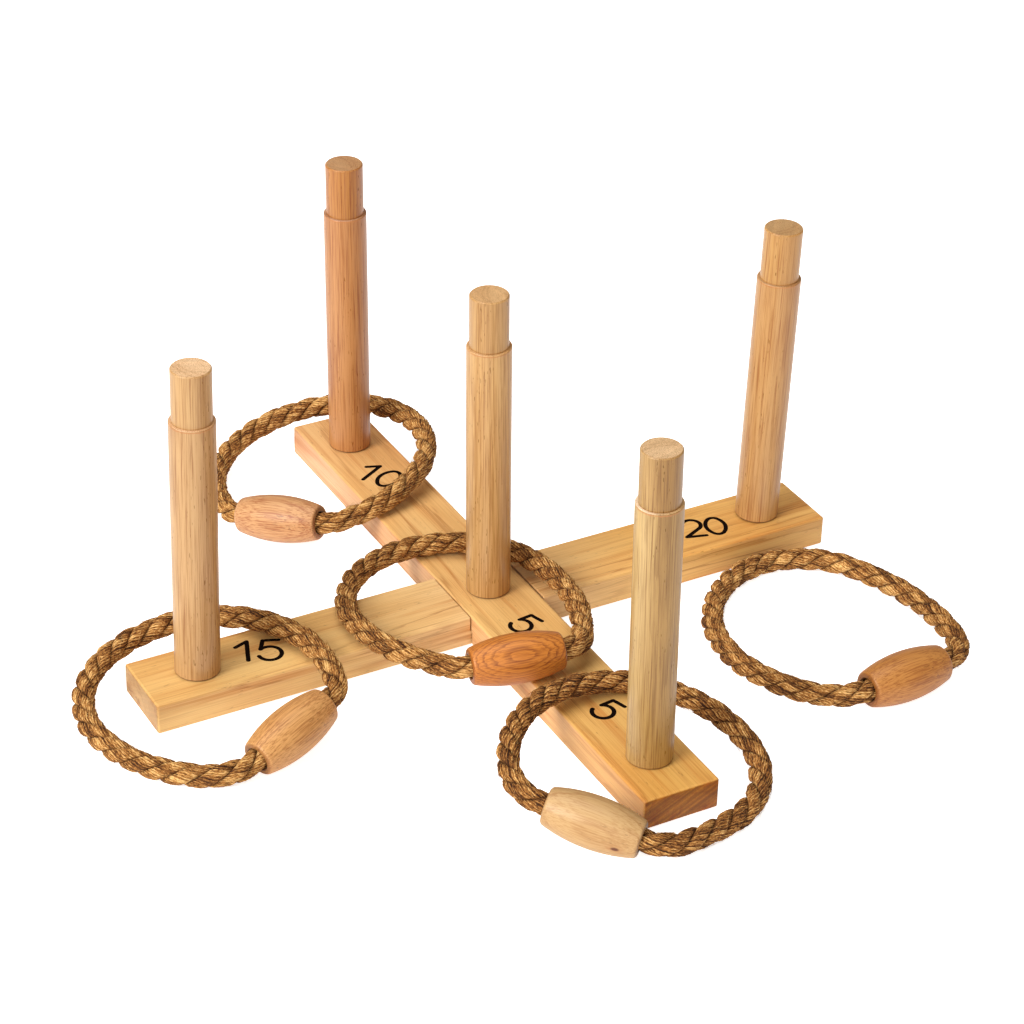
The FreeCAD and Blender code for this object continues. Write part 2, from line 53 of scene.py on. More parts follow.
class Shader:
    """One material's node tree. Every input may be a number, a tuple or another node's output."""

    def __init__(self, name):
        self.material = bpy.data.materials.new(name)
        self.material.use_nodes = True
        self.tree = self.material.node_tree
        self.surface = self.tree.nodes["Principled BSDF"]

    def put(self, socket, value):
        if isinstance(value, bpy.types.NodeSocket):
            self.tree.links.new(value, socket)
        else:
            socket.default_value = value

    def finish(self, **values):
        """Set the surface's inputs; an underscore stands for a space in their names."""
        for name, value in values.items():
            self.put(self.surface.inputs[name.replace("_", " ")], value)
        return self.material

    def maths(self, operation, *values):
        node = self.tree.nodes.new("ShaderNodeMath")
        node.operation = operation
        for socket, value in zip(node.inputs, values):
            self.put(socket, value)
        return node.outputs[0]

    def product(self, first, *others):
        for value in others:
            first = self.maths("MULTIPLY", first, value)
        return first

    def total(self, first, *others):
        for value in others:
            first = self.maths("ADD", first, value)
        return first

    def less(self, first, second):
        return self.maths("SUBTRACT", first, second)

    def inverse(self, value):
        """1 where value is 0, and 0 where it is 1."""
        return self.less(1.0, value)

    def vectors(self, operation, *values):
        node = self.tree.nodes.new("ShaderNodeVectorMath")
        node.operation = operation
        for socket, value in zip(node.inputs, values):
            self.put(socket, value)
        return node.outputs["Value" if operation in ("DOT_PRODUCT", "LENGTH") else "Vector"]

    def point(self, x, y, z):
        node = self.tree.nodes.new("ShaderNodeCombineXYZ")
        for socket, value in zip(node.inputs, (x, y, z)):
            self.put(socket, value)
        return node.outputs[0]

    def parts(self, vector):
        node = self.tree.nodes.new("ShaderNodeSeparateXYZ")
        self.put(node.inputs[0], vector)
        return tuple(node.outputs)

    def place(self):
        return self.tree.nodes.new("ShaderNodeTexCoord").outputs["Object"]

    def reach(self, origin, axis):
        """How far a place lies from origin along an axis, in millimetres."""
        moved = self.vectors("SUBTRACT", self.place(), tuple(origin))
        return self.maths("DIVIDE", self.vectors("DOT_PRODUCT", moved, tuple(axis)), MM)

    def normal(self):
        return self.tree.nodes.new("ShaderNodeNewGeometry").outputs["Normal"]

    def attribute(self, name, output="Fac"):
        node = self.tree.nodes.new("ShaderNodeAttribute")
        node.attribute_name = name
        return node.outputs[output]

    def noise(self, vector, scale=1.0, detail=2.0, roughness=0.5):
        node = self.tree.nodes.new("ShaderNodeTexNoise")
        settings = {"Vector": vector, "Scale": scale, "Detail": detail, "Roughness": roughness}
        for name, value in settings.items():
            self.put(node.inputs[name], value)
        return node.outputs["Fac"]

    def grain_noise(self, grain, along, across, detail=2.0, roughness=0.5):
        """Noise with long cells: along and across are its rates per millimetre of the grain."""
        x, y, z = grain
        place = self.point(self.product(x, along), self.product(y, across),
                           self.product(z, across))
        return self.noise(place, 1.0, detail, roughness)

    def fade(self, value, low, high):
        """0 where value is at or below low, 1 at or above high, smooth between."""
        node = self.tree.nodes.new("ShaderNodeMapRange")
        node.interpolation_type = "SMOOTHSTEP"
        self.put(node.inputs["Value"], value)
        self.put(node.inputs["From Min"], low)
        self.put(node.inputs["From Max"], high)
        return node.outputs["Result"]

    def ramp(self, factor, *stops):
        node = self.tree.nodes.new("ShaderNodeValToRGB")
        self.put(node.inputs["Fac"], factor)
        elements = node.color_ramp.elements
        while len(elements) < len(stops):
            elements.new(1.0)
        for element, (position, colour) in zip(elements, stops):
            element.position = position
            element.color = (*colour, 1.0)
        return node.outputs["Color"]

    def mix(self, factor, first, second, mode="MIX"):
        node = self.tree.nodes.new("ShaderNodeMix")
        node.data_type = "RGBA"
        node.blend_type = mode
        self.put(node.inputs[0], factor)
        for socket, value in zip(node.inputs[6:8], (first, second)):
            self.put(socket, (*value, 1.0) if isinstance(value, tuple) else value)
        return node.outputs[2]

    def lay(self, colour, over, *amounts):
        """Lay one colour over another, as strongly as the product of the amounts."""
        return self.mix(self.product(*amounts), colour, over)

    def tint(self, colour, tone):
        return self.mix(1.0, colour, tone, "MULTIPLY")

    def bump(self, height, strength, distance):
        node = self.tree.nodes.new("ShaderNodeBump")
        self.put(node.inputs["Height"], height)
        self.put(node.inputs["Strength"], strength)
        self.put(node.inputs["Distance"], distance)
        return node.outputs["Normal"]


# A pore's tone next to the growth rings' lines
PORE_SHADE = 0.45
# Colours laid over the wood: ink, warm edges and threads, a knot, and painted shade at a peg's neck
# and foot and in the bores
INK = (0.006, 0.003, 0.002)
# Painted shade in the corner at a peg's neck foot
NECK_FOOT_SHADE = (0.22, 0.075, 0.022)
TORN_EDGE = (0.46, 0.17, 0.05)
# Painted shadow round a peg's foot, where it stands on the bar
PEG_FOOT_SHADOW = (0.12, 0.038, 0.011)
SIDE_THREAD = (0.50, 0.19, 0.06)
KNOT_HALO = (0.36, 0.15, 0.045)
KNOT_CORE = (0.10, 0.020, 0.006)
BORE_SHADE = (0.09, 0.034, 0.012)


def wood_parts(shader, grain, pale, deep, line, pith, spacing, figure, flecks, late_from=0.45,
               streaks=0.55, wander=6.0, steady=0.0, fibre_rate=0.030, flame=None, lean=0.0):
    """Colour and height of sawn or turned wood.

    The growth rings are tubes round a wandering pith, so flat faces and round ones cut them
    into straight lines, arches and ovals by themselves. pith is its place across the grain and
    spacing the rings' width, in millimetres; figure is how strongly they show, late_from where
    in a ring its dark part begins, flecks how many short dark pores there are and streaks how
    strongly the fibres show. wander is how far the rings stray, in ring widths, and steady the
    least share at which any ring shows. A lower fibre_rate makes longer fibres.
    flame, if any, is the colour of long warm bands, and lean how fast the pith sinks along the
    grain, which turns a flat face's lines into arches.
    """
    x, y, z = grain
    astray = shader.product(shader.less(shader.grain_noise(grain, 0.0035, 0.018, 1.5), 0.5),
                            spacing * wander)
    wobble = shader.product(shader.grain_noise(grain, 0.015, 0.30), spacing * 0.9)
    depth = shader.total(shader.less(z, pith[1]), shader.product(x, lean))
    radius = shader.vectors("LENGTH", shader.point(0.0, shader.less(y, pith[0]), depth))
    turns = shader.maths("DIVIDE", shader.total(radius, astray, wobble), spacing)
    phase = shader.maths("FRACT", turns)
    late = shader.product(shader.fade(phase, late_from, 0.92),
                          shader.inverse(shader.fade(phase, 0.94, 1.0)))
    which = shader.noise(shader.point(shader.maths("FLOOR", turns), 0.0, 0.0), 7.3, 0.0)
    uneven = shader.product(shader.fade(which, 0.3, 0.62),
                            shader.fade(shader.grain_noise(grain, 0.010, 0.05), 0.3, 0.6))
    shown = shader.maths("MAXIMUM", uneven, steady)

    fibre = shader.grain_noise(grain, fibre_rate, 1.1, 4.0, 0.62)
    dashes = shader.grain_noise(grain, 0.14, 1.0, 1.0)
    pores = shader.product(
        shader.fade(dashes, 0.70 - 0.10 * flecks, 0.78 - 0.10 * flecks),
        shader.fade(shader.grain_noise(grain, 0.012, 0.08, 1.0), 0.38, 0.6))

    broad = shader.fade(shader.grain_noise(grain, 0.006, 0.03, 3.0), 0.3, 0.70)
    colour = shader.lay(pale, deep, broad, 0.75)
    if flame:
        bands = shader.fade(shader.grain_noise(grain, 0.0045, 0.085, 3.0, 0.55), 0.50, 0.68)
        colour = shader.lay(colour, flame, bands, 0.75)
    colour = shader.lay(colour, line, late, shader.product(shown, figure))
    colour = shader.lay(colour, pale, shader.fade(fibre, 0.45, 0.75), 0.6)
    colour = shader.lay(colour, line, shader.fade(fibre, 0.56, 0.30), streaks)
    colour = shader.lay(colour, tuple(PORE_SHADE * value for value in line), pores, 0.6)
    height = shader.less(shader.product(fibre, 0.6), pores)
    return colour, height


def tinted(shader, colour, position, reach, *tints):
    """Change the colour's tone by position; the tints are spread evenly from -reach to reach."""
    share = shader.total(shader.maths("DIVIDE", position, 2.0 * reach), 0.5)
    stops = [(number / (len(tints) - 1), tint) for number, tint in enumerate(tints)]
    return shader.tint(colour, shader.ramp(share, *stops))


def turned_peg(shader, colour, grain, neck_tint):
    """What a peg shows, measured from its shoulder: the neck's own tone and a ragged warm edge
    round the shoulder, which turning leaves, with a faint line of painted shade in the corner at
    the neck's foot and a painted shadow line round the peg's foot where it stands on the bar."""
    above = grain[0]
    neck = shader.fade(above, -0.2, 0.3)
    colour = shader.mix(neck, colour, shader.tint(colour, neck_tint))
    # Painted shade in the corner where the neck meets the shoulder
    neck_foot_shade = shader.product(neck, shader.inverse(shader.fade(above, 0.5, 1.2)))
    colour = shader.lay(colour, NECK_FOOT_SHADE, neck_foot_shade, 0.30)
    ragged = shader.noise(shader.point(0.0, grain[1], grain[2]), 0.55, 3.0, 0.7)
    depth = shader.total(-3.0, shader.product(ragged, 3.0))
    edge = shader.product(shader.fade(above, shader.less(depth, 0.2), depth),
                          shader.inverse(shader.fade(above, -0.9, -0.4)))
    colour = shader.lay(colour, TORN_EDGE, edge, 0.65)
    # Painted shadow: a dark line round the peg's foot, where it stands on the bar
    foot = shader.product(
        shader.inverse(shader.fade(above, 0.9 - SHAFT_LENGTH, 1.5 - SHAFT_LENGTH)),
        shader.fade(above, -0.3 - SHAFT_LENGTH, -0.1 - SHAFT_LENGTH))
    return shader.lay(colour, PEG_FOOT_SHADOW, foot, 0.9)


def tinted_sides(shader, colour, grain, tint, threads):
    """Change the upright faces' tone as painted light, and draw fine warm threads on them."""
    upright = shader.inverse(shader.fade(shader.parts(shader.normal())[2], 0.3, 0.8))
    colour = shader.mix(upright, colour, shader.tint(colour, tint))
    fine = shader.grain_noise(grain, 0.011, 0.75, 3.0, 0.6)
    return shader.lay(colour, SIDE_THREAD, shader.fade(fine, 0.50, 0.64), threads, upright)


def end_grain_and_top_light(shader, colour, grain, along, tone, banding):
    """Tint the faces that cut across the fibres, with soft diagonal bands; on pegs a tone over 1 is
    painted light.
    """
    facing = shader.maths("ABSOLUTE", shader.vectors("DOT_PRODUCT", shader.normal(), tuple(along)))
    amount = shader.fade(facing, 0.6, 0.98)
    slant = shader.total(shader.product(grain[1], 0.10), shader.product(grain[2], 0.22))
    bands = shader.fade(shader.noise(shader.point(slant, 0.0, 0.0)), 0.38, 0.62)
    dark = shader.tint(colour, tuple(value * (1.0 - banding) for value in tone))
    light = shader.tint(colour, tone)
    return shader.mix(amount, colour, shader.mix(bands, dark, light))


def wood(name, origin, along, across, ink=None, sheen=0.42, end=(0.66, 0.58, 0.50), extra=None,
         banding=0.12, shine=0.35, **look):
    """A satin wood whose grain runs along one axis.

    ink(shader, grain), if any, is 1 where the scores' ink lies, and extra(shader, colour, grain)
    adds what is special. sheen is the roughness, shine the strength of reflections, and end and
    banding the tone and the bands of the end grain; on the pegs, end well above 1 is also painted
    light on their upward faces.
    """
    shader = Shader(name)
    grain = [shader.reach(origin, axis) for axis in (along, across, along.cross(across))]
    colour, height = wood_parts(shader, grain, **look)
    if extra:
        colour = extra(shader, colour, grain)
    colour = end_grain_and_top_light(shader, colour, grain, along, end, banding)
    rough = shader.total(sheen, shader.product(height, 0.10))
    if ink:
        painted = ink(shader, grain)
        colour = shader.mix(painted, colour, INK)
        rough = shader.total(rough, shader.product(painted, 0.4))
        shine = shader.less(shine, shader.product(painted, 0.33))
    return shader.finish(Base_Color=colour, Roughness=rough, Specular_IOR_Level=shine,
                         Normal=shader.bump(height, 0.25, 0.3 * MM))


def sunk_scores(shader, grain):
    """1 inside the scores: they are the only hollows in a bar's top between its holes."""
    length, width, level = grain
    reach = shader.maths("ABSOLUTE", length)
    return shader.product(shader.maths("LESS_THAN", level, -0.12),
                          shader.maths("GREATER_THAN", level, -0.6),
                          shader.maths("LESS_THAN", shader.maths("ABSOLUTE", width), 26.0),
                          shader.maths("GREATER_THAN", reach, 40.0),
                          shader.maths("LESS_THAN", reach, 232.0))


def dress(node, material):
    """Give a CAD node its material."""
    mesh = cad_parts[node].data
    if not mesh.materials:
        mesh.materials.append(material)
    for index in range(len(mesh.materials)):
        mesh.materials[index] = material


def node_points(node):
    """A CAD node's vertices in metres, one row each."""
    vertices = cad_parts[node].data.vertices
    points = np.empty(len(vertices) * 3)
    vertices.foreach_get("co", points)
    return points.reshape(-1, 3)


# Bars and pegs

BAR_LOOKS = {
    "lower_bar": dict(pale=(0.86, 0.57, 0.27), deep=(0.70, 0.38, 0.14), line=(0.36, 0.135, 0.034),
                      pith=(20.0, -40.0), spacing=9.0, figure=0.85, flecks=0.25, late_from=0.70,
                      fibre_rate=0.012, streaks=0.26, flame=(0.60, 0.26, 0.075), banding=0.1,
                      end=(0.72, 0.69, 0.71), lean=0.03),
    "upper_bar": dict(pale=(0.86, 0.53, 0.22), deep=(0.72, 0.36, 0.115), line=(0.42, 0.16, 0.038),
                      pith=(-14.0, -44.0), spacing=8.0, figure=0.75, flecks=0.2, late_from=0.62,
                      fibre_rate=0.012, streaks=0.26, flame=(0.62, 0.24, 0.06), banding=0.45,
                      end=(0.74, 0.49, 0.10), lean=0.05),
}
# The bars' tones, evenly spread from their -X or -Y end to the other: mostly the wood's own
# tone, with painted shade making the lower bar's +X end and the upper bar's +Y end darker
BAR_TONES_AND_SHADE = {
    "lower_bar": ((0.90, 0.83, 0.62), (0.90, 0.87, 0.68), (0.99, 0.99, 0.98), (0.94, 0.81, 0.49),
                  (0.82, 0.71, 0.46)),
    "upper_bar": ((0.81, 0.72, 0.43), (0.86, 0.87, 0.70), (0.92, 0.92, 0.84), (0.90, 0.87, 0.80),
                  (0.86, 0.84, 0.88)),
}
# What is different on the bars' upright faces: their tone, painted light and shade that sets
# them apart from the tops, and how strong their warm threads are
UPRIGHT_LIGHT_TINTS = {"lower_bar": (1.0, 1.03, 1.10), "upper_bar": (0.93, 0.91, 1.14)}
SIDE_THREADS = {"lower_bar": 0.25, "upper_bar": 0.5}
# Each peg's wood. Its end tone, on its top and its shoulder's ledge, is well above 1: painted light
# on these upward faces over the end grain's own tone
PEG_LOOKS = {
    "peg_15": dict(pale=(0.55, 0.33, 0.145), deep=(0.44, 0.238, 0.088), line=(0.29, 0.125, 0.038),
                   end=(1.66, 1.87, 2.6)),
    "peg_20": dict(pale=(0.53, 0.293, 0.108), deep=(0.445, 0.22, 0.068), line=(0.31, 0.12, 0.033),
                   end=(1.0, 1.10, 1.45)),
    "peg_10": dict(pale=(0.51, 0.236, 0.082), deep=(0.415, 0.162, 0.045), line=(0.28, 0.088, 0.022),
                   end=(1.14, 1.50, 2.9)),
    "peg_5": dict(pale=(0.46, 0.275, 0.095), deep=(0.34, 0.188, 0.054), line=(0.23, 0.11, 0.028),
                  end=(1.95, 2.4, 4.4)),
    "peg_centre": dict(pale=(0.59, 0.355, 0.138), deep=(0.485, 0.258, 0.088),
                       line=(0.33, 0.15, 0.042), end=(1.35, 1.43, 1.80)),
}
NECK_TINTS = {"peg_15": (1.0, 1.0, 0.95), "peg_20": (1.0, 1.0, 0.90),
              "peg_10": (0.93, 0.86, 0.59), "peg_5": (0.86, 0.78, 0.68),
              "peg_centre": (0.88, 0.85, 0.80)}
# Painted light and shade across a peg, spread from its lit side to its shaded side along the
# direction below: darker and warmer on the shaded side, and on peg 5 much lighter on the lit side
PEG_SIDE_LIGHT_TONES = ((1.0, 1.0, 1.0), (1.0, 1.0, 1.0), (0.97, 0.86, 0.68))
PEG_5_SIDE_LIGHT_TONES = ((1.32, 1.53, 1.95), (0.89, 0.87, 0.79), (0.91, 0.82, 0.58))
TOWARDS_SHADED_SIDE = Vector((0.877, -0.481, 0.0))
# A peg's sizes in millimetres
PEG_RADIUS = 17.75
NECK_LENGTH = 44.0
SHAFT_LENGTH = 221.0


def dress_bars():
    for node, along, across in (("lower_bar", Vector((1, 0, 0)), Vector((0, 1, 0))),
                                ("upper_bar", Vector((0, 1, 0)), Vector((-1, 0, 0)))):
        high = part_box(node)[1]
        half = max(high.x, high.y) / MM

        def toned(shader, colour, grain, node=node, half=half):
            colour = tinted(shader, colour, grain[0], half, *BAR_TONES_AND_SHADE[node])
            return tinted_sides(shader, colour, grain, UPRIGHT_LIGHT_TINTS[node], SIDE_THREADS[node])

        dress(node, wood(f"{node}_wood", Vector((0, 0, high.z)), along, across,
                         ink=sunk_scores, extra=toned, **BAR_LOOKS[node]))


def peg_frame(node):
    """The middle of a peg's shoulder and the direction up the peg, which leans a little."""
    points = node_points(node)
    height = points[:, 2]
    rim = 3 * MM
    foot = points[height < height.min() + rim].mean(axis=0)
    tip = points[height > height.max() - rim].mean(axis=0)
    axis = (tip - foot) / np.linalg.norm(tip - foot)
    shoulder = (points @ axis).max() - NECK_LENGTH * MM
    return Vector(tip + (shoulder - tip @ axis) * axis), Vector(axis)


def dress_pegs():
    for number, (node, look) in enumerate(PEG_LOOKS.items()):
        angle = 1.3 * number
        origin, axis = peg_frame(node)
        across = axis.cross(Vector((math.sin(angle), -math.cos(angle), 0))).normalized()

        def turned(shader, colour, grain, node=node, origin=origin):
            # Painted light and shade: the peg's lit side lighter and its shaded side darker and
            # warmer
            tones = PEG_5_SIDE_LIGHT_TONES if node == "peg_5" else PEG_SIDE_LIGHT_TONES
            aside = shader.reach(origin, TOWARDS_SHADED_SIDE)
            sides = shader.mix(shader.fade(grain[0], NECK_LENGTH - 1.0, NECK_LENGTH),
                               tinted(shader, colour, aside, PEG_RADIUS, *tones), colour)
            return turned_peg(shader, sides, grain, NECK_TINTS[node])

        dress(node, wood(f"{node}_wood", origin, axis, across, pith=(30.0, 9.0 + 3.0 * number),
                         spacing=6.0, figure=0.75, flecks=0.35, streaks=1.0, fibre_rate=0.02,
                         sheen=0.30, shine=0.5, extra=turned, **look))


# Rings: each ring's own frame, its loop and its rope

# Each loop's centre line, in millimetres in its ring's frame: the radii of its right corner,
# right side and crown, the crown's centre, and the radii of its left side and left corner
LOOPS = {
    "10": (23.0, 108.0, 90.5, (-1.5, 85.0), 101.0, 21.5),
    "15": (28.0, 100.5, 73.5, (-19.5, 99.0), 126.0, 41.0),
    "centre": (20.5, 163.0, 82.5, (-23.0, 105.0), 141.0, 21.0),
    "5": (36.5, 198.0, 71.0, (29.5, 87.0), 97.0, 38.5),
    "free": (33.5, 197.0, 67.0, (7.0, 132.0), 118.0, 45.5),
}
# Half the straight through the bead, and half the gap between the rope's two ends
STRAIGHT = 38.0
END_GAP = 1.0
BEAD_LOOKS = {
    "10": dict(pale=(0.59, 0.325, 0.146), deep=(0.50, 0.23, 0.086), line=(0.29, 0.08, 0.025),
               pith=(34.0, -26.0), spacing=5.0, figure=0.6, flecks=1.0, streaks=0.85),
    "15": dict(pale=(0.63, 0.33, 0.115), deep=(0.49, 0.21, 0.057), line=(0.29, 0.10, 0.026),
               pith=(40.0, 22.0), spacing=3.5, figure=0.7, flecks=0.8, streaks=0.8),
    "centre": dict(pale=(0.575, 0.205, 0.033), deep=(0.46, 0.14, 0.018), line=(0.14, 0.024, 0.005),
                   pith=(27.0, -27.0), spacing=1.5, figure=0.95, flecks=0.3, late_from=0.5,
                   wander=3.2, steady=0.6, streaks=0.5),
    "5": dict(pale=(0.54, 0.345, 0.155), deep=(0.44, 0.24, 0.09), line=(0.34, 0.16, 0.053),
              pith=(34.0, -30.0), spacing=5.0, figure=0.7, flecks=0.5),
    "free": dict(pale=(0.505, 0.22, 0.054), deep=(0.405, 0.145, 0.029), line=(0.23, 0.065, 0.015),
                 pith=(28.0, 24.0), spacing=4.5, figure=0.6, flecks=0.9, streaks=0.8),
}
# A small dark knot on one bead, in millimetres in its ring's frame
KNOT_RING = "5"
KNOT = (21.0, -17.0, -1.0)


def ring_frame(ring):
    """The bead's centre, the direction along it, and the direction to the loop's far side."""
    bead = node_points(f"bead_{ring}")
    centre = (bead.min(axis=0) + bead.max(axis=0)) / 2
    spread = np.linalg.eigh(np.cov((bead - centre).T))[1]
    along = Vector(spread[:, -1])
    outward = Vector(node_points(f"rope_{ring}").mean(axis=0) - centre)
    normal = along.cross(outward).normalized()
    if normal.z < 0:
        along, normal = -along, -normal
    return Vector(centre), along, normal.cross(along)


def arc(centre, radius, start, end, step):
    """Points on an anticlockwise arc from just after start to end, in the plane of the loop."""
    first = math.atan2(start[1] - centre[1], start[0] - centre[0])
    last = math.atan2(end[1] - centre[1], end[0] - centre[0])
    if last < first:
        last += 2 * math.pi
    count = max(2, round(radius * (last - first) / step))
    angles = np.linspace(first, last, count + 1)[1:]
    return np.stack([centre[0] + radius * np.cos(angles), centre[1] + radius * np.sin(angles)], 1)


def half_loop(corner, side, crown, crown_centre, fine):
    """A loop's right half: the straight in the bead, the corner arc, the side arc, and the
    joint where the crown arc begins."""
    low_centre = np.array([STRAIGHT, corner])
    high_centre = np.array(crown_centre)
    across = high_centre - low_centre
    span = math.hypot(*across)
    along = ((side - corner) ** 2 - (side - crown) ** 2 + span ** 2) / (2 * span)
    aside = math.copysign(math.sqrt((side - corner) ** 2 - along ** 2), side - crown)
    unit = across / span
    side_centre = low_centre + unit * along + np.array([-unit[1], unit[0]]) * aside
    low = low_centre + (low_centre - side_centre) * corner / (side - corner)
    high = high_centre + (high_centre - side_centre) * crown / (side - crown)
    inside = np.arange(END_GAP, STRAIGHT, fine)
    line = np.vstack([np.stack([inside, np.zeros_like(inside)], 1),
                      arc(low_centre, corner, (STRAIGHT, 0.0), low, fine),
                      arc(side_centre, side, low, high, fine)])
    return line, high


def loop_line(ring, step):
    """The rope's centre line in its ring's frame, in millimetres, evenly spaced."""
    right_corner, right_side, crown, (x, y), left_side, left_corner = LOOPS[ring]
    fine = 0.2
    flip = np.array([-1.0, 1.0])
    right, first = half_loop(right_corner, right_side, crown, (x, y), fine)
    left, last = half_loop(left_corner, left_side, crown, (-x, y), fine)
    top = arc((x, y), crown, first, last * flip, fine)
    line = np.vstack([right, top[:-1], left[::-1] * flip])
    lengths = np.concatenate([[0], np.cumsum(np.hypot(*np.diff(line, axis=0).T))])
    stations = np.linspace(0, lengths[-1], round(lengths[-1] / step) + 1)
    return stations, np.stack([np.interp(stations, lengths, line[:, i]) for i in (0, 1)], 1)


# How much paler each ring's rope is
ROPE_TONES = {"10": 0.0, "15": -0.07, "centre": -0.03, "5": -0.24, "free": -0.08}
# The rope in millimetres: three oval strands whose middles lie STRAND_OFFSET from its axis, which
# go round it once in LAY. A strand's yarns are ridges that go round the strand once in YARN_LAY
ROPE_RADIUS = 9.0
STRAND_OFFSET = 4.6
STRAND_HEIGHT = 4.4
STRAND_WIDTH = 5.7
STRAND_GAP = 0.06
LAY = 56.0
YARNS = 15
YARN_DEPTH = 0.5
YARN_LAY = 27.0
# The mesh has this many vertices across a yarn, and a cross-section at every station
YARN_STEPS = 5
STATION = 1.5
# Half the angle that each of the three strands fills
FLANK = math.radians(60)
WHISKERS = 1100
# From dark brown, deepest in the yarns' grooves, which carry painted shade, to the highlights'
# straw
ROPE_COLOURS = ((0.395, (0.028, 0.009, 0.003)), (0.455, (0.125, 0.044, 0.010)),
                (0.515, (0.315, 0.122, 0.026)), (0.565, (0.51, 0.243, 0.066)),
                (0.625, (0.82, 0.51, 0.19)))
# Painted shade laid in the deep creases between the strands
ROPE_CREASE_SHADE = (0.055, 0.020, 0.006)
ROPE_SPECK = (0.02, 0.01, 0.006)


def slow_waves(rng, stations, wavelength, count=6):
    """A smooth random curve along the rope, roughly between -1 and 1."""
    curve = np.zeros_like(stations)
    for _ in range(count):
        length = wavelength * rng.uniform(0.6, 1.8)
        curve += np.sin(2 * math.pi * (stations / length + rng.random()))
    return curve / math.sqrt(count)


def flank_meeting():
    """Where an oval strand runs into its neighbour: the angle round it, and the radius there."""
    angles = np.linspace(0, math.pi, 2000)
    x = STRAND_OFFSET + STRAND_HEIGHT * np.cos(angles)
    y = STRAND_WIDTH * np.sin(angles)
    met = np.argmax(y * math.cos(FLANK) > x * math.sin(FLANK) - STRAND_GAP)
    return angles[met], math.hypot(x[met], y[met])


def strand_section(rng, stations, loose):
    """A strand's cross-sections, its middle at x = its distance from the rope's axis.

    It is an oval with yarn ridges round it, pressed flat where it meets the other two strands.
    """
    count = YARNS * YARN_STEPS
    turn = 2 * math.pi * np.arange(count) / count
    ridge = YARN_DEPTH * (np.abs(np.cos(YARNS * turn / 2)) - 1)
    fat = rng.normal(0, 0.14, YARNS).repeat(YARN_STEPS)
    plump = 0.34 * slow_waves(rng, stations, 40) * loose
    swell = np.stack([0.22 * slow_waves(rng, stations, 13, 4) for _ in range(YARNS)], 1)
    rough = rng.normal(0, 0.07, (len(stations), count))
    extra = ((ridge + fat)[None] + plump[:, None]
             + (swell.repeat(YARN_STEPS, axis=1) + rough) * loose[:, None])
    angle = turn[None] + 2 * math.pi * stations[:, None] / YARN_LAY
    angle = (angle + math.pi) % (2 * math.pi) - math.pi
    met, rim = flank_meeting()
    x = STRAND_OFFSET + (STRAND_HEIGHT + extra) * np.cos(angle)
    y = (STRAND_WIDTH + extra) * np.sin(angle)
    widest = np.maximum(x * math.tan(FLANK) - 2 * STRAND_GAP, 0)
    y = np.clip(y, -widest, widest)
    inward = (np.abs(angle) - met) / (math.pi - met)
    reach = rim + (0.4 - rim) * inward
    flat_x = reach * math.cos(FLANK) + STRAND_GAP * math.sin(FLANK)
    flat_y = np.sign(angle) * (reach * math.sin(FLANK) - STRAND_GAP * math.cos(FLANK))
    pressed = inward > 0
    x = np.where(pressed, flat_x, x)
    y = np.where(pressed, flat_y, y)
    limit = ROPE_RADIUS + 0.08 + 0.35 * loose[:, None]
    squeeze = np.minimum(1, limit / np.hypot(x, y))
    groove = np.broadcast_to(-ridge / YARN_DEPTH, x.shape)
    return x * squeeze, y * squeeze, turn, groove


def tube_faces(first, rings, count):
    """Quads of a tube whose vertices go round each ring in turn, with both ends closed."""
    a = first + np.arange(rings - 1)[:, None] * count + np.arange(count)[None]
    b = first + np.arange(rings - 1)[:, None] * count + (np.arange(count)[None] + 1) % count
    quads = np.stack([a, b, b + count, a + count], -1).reshape(-1, 4).tolist()
    last = first + (rings - 1) * count
    return quads + [list(range(first + count - 1, first - 1, -1)), list(range(last, last + count))]


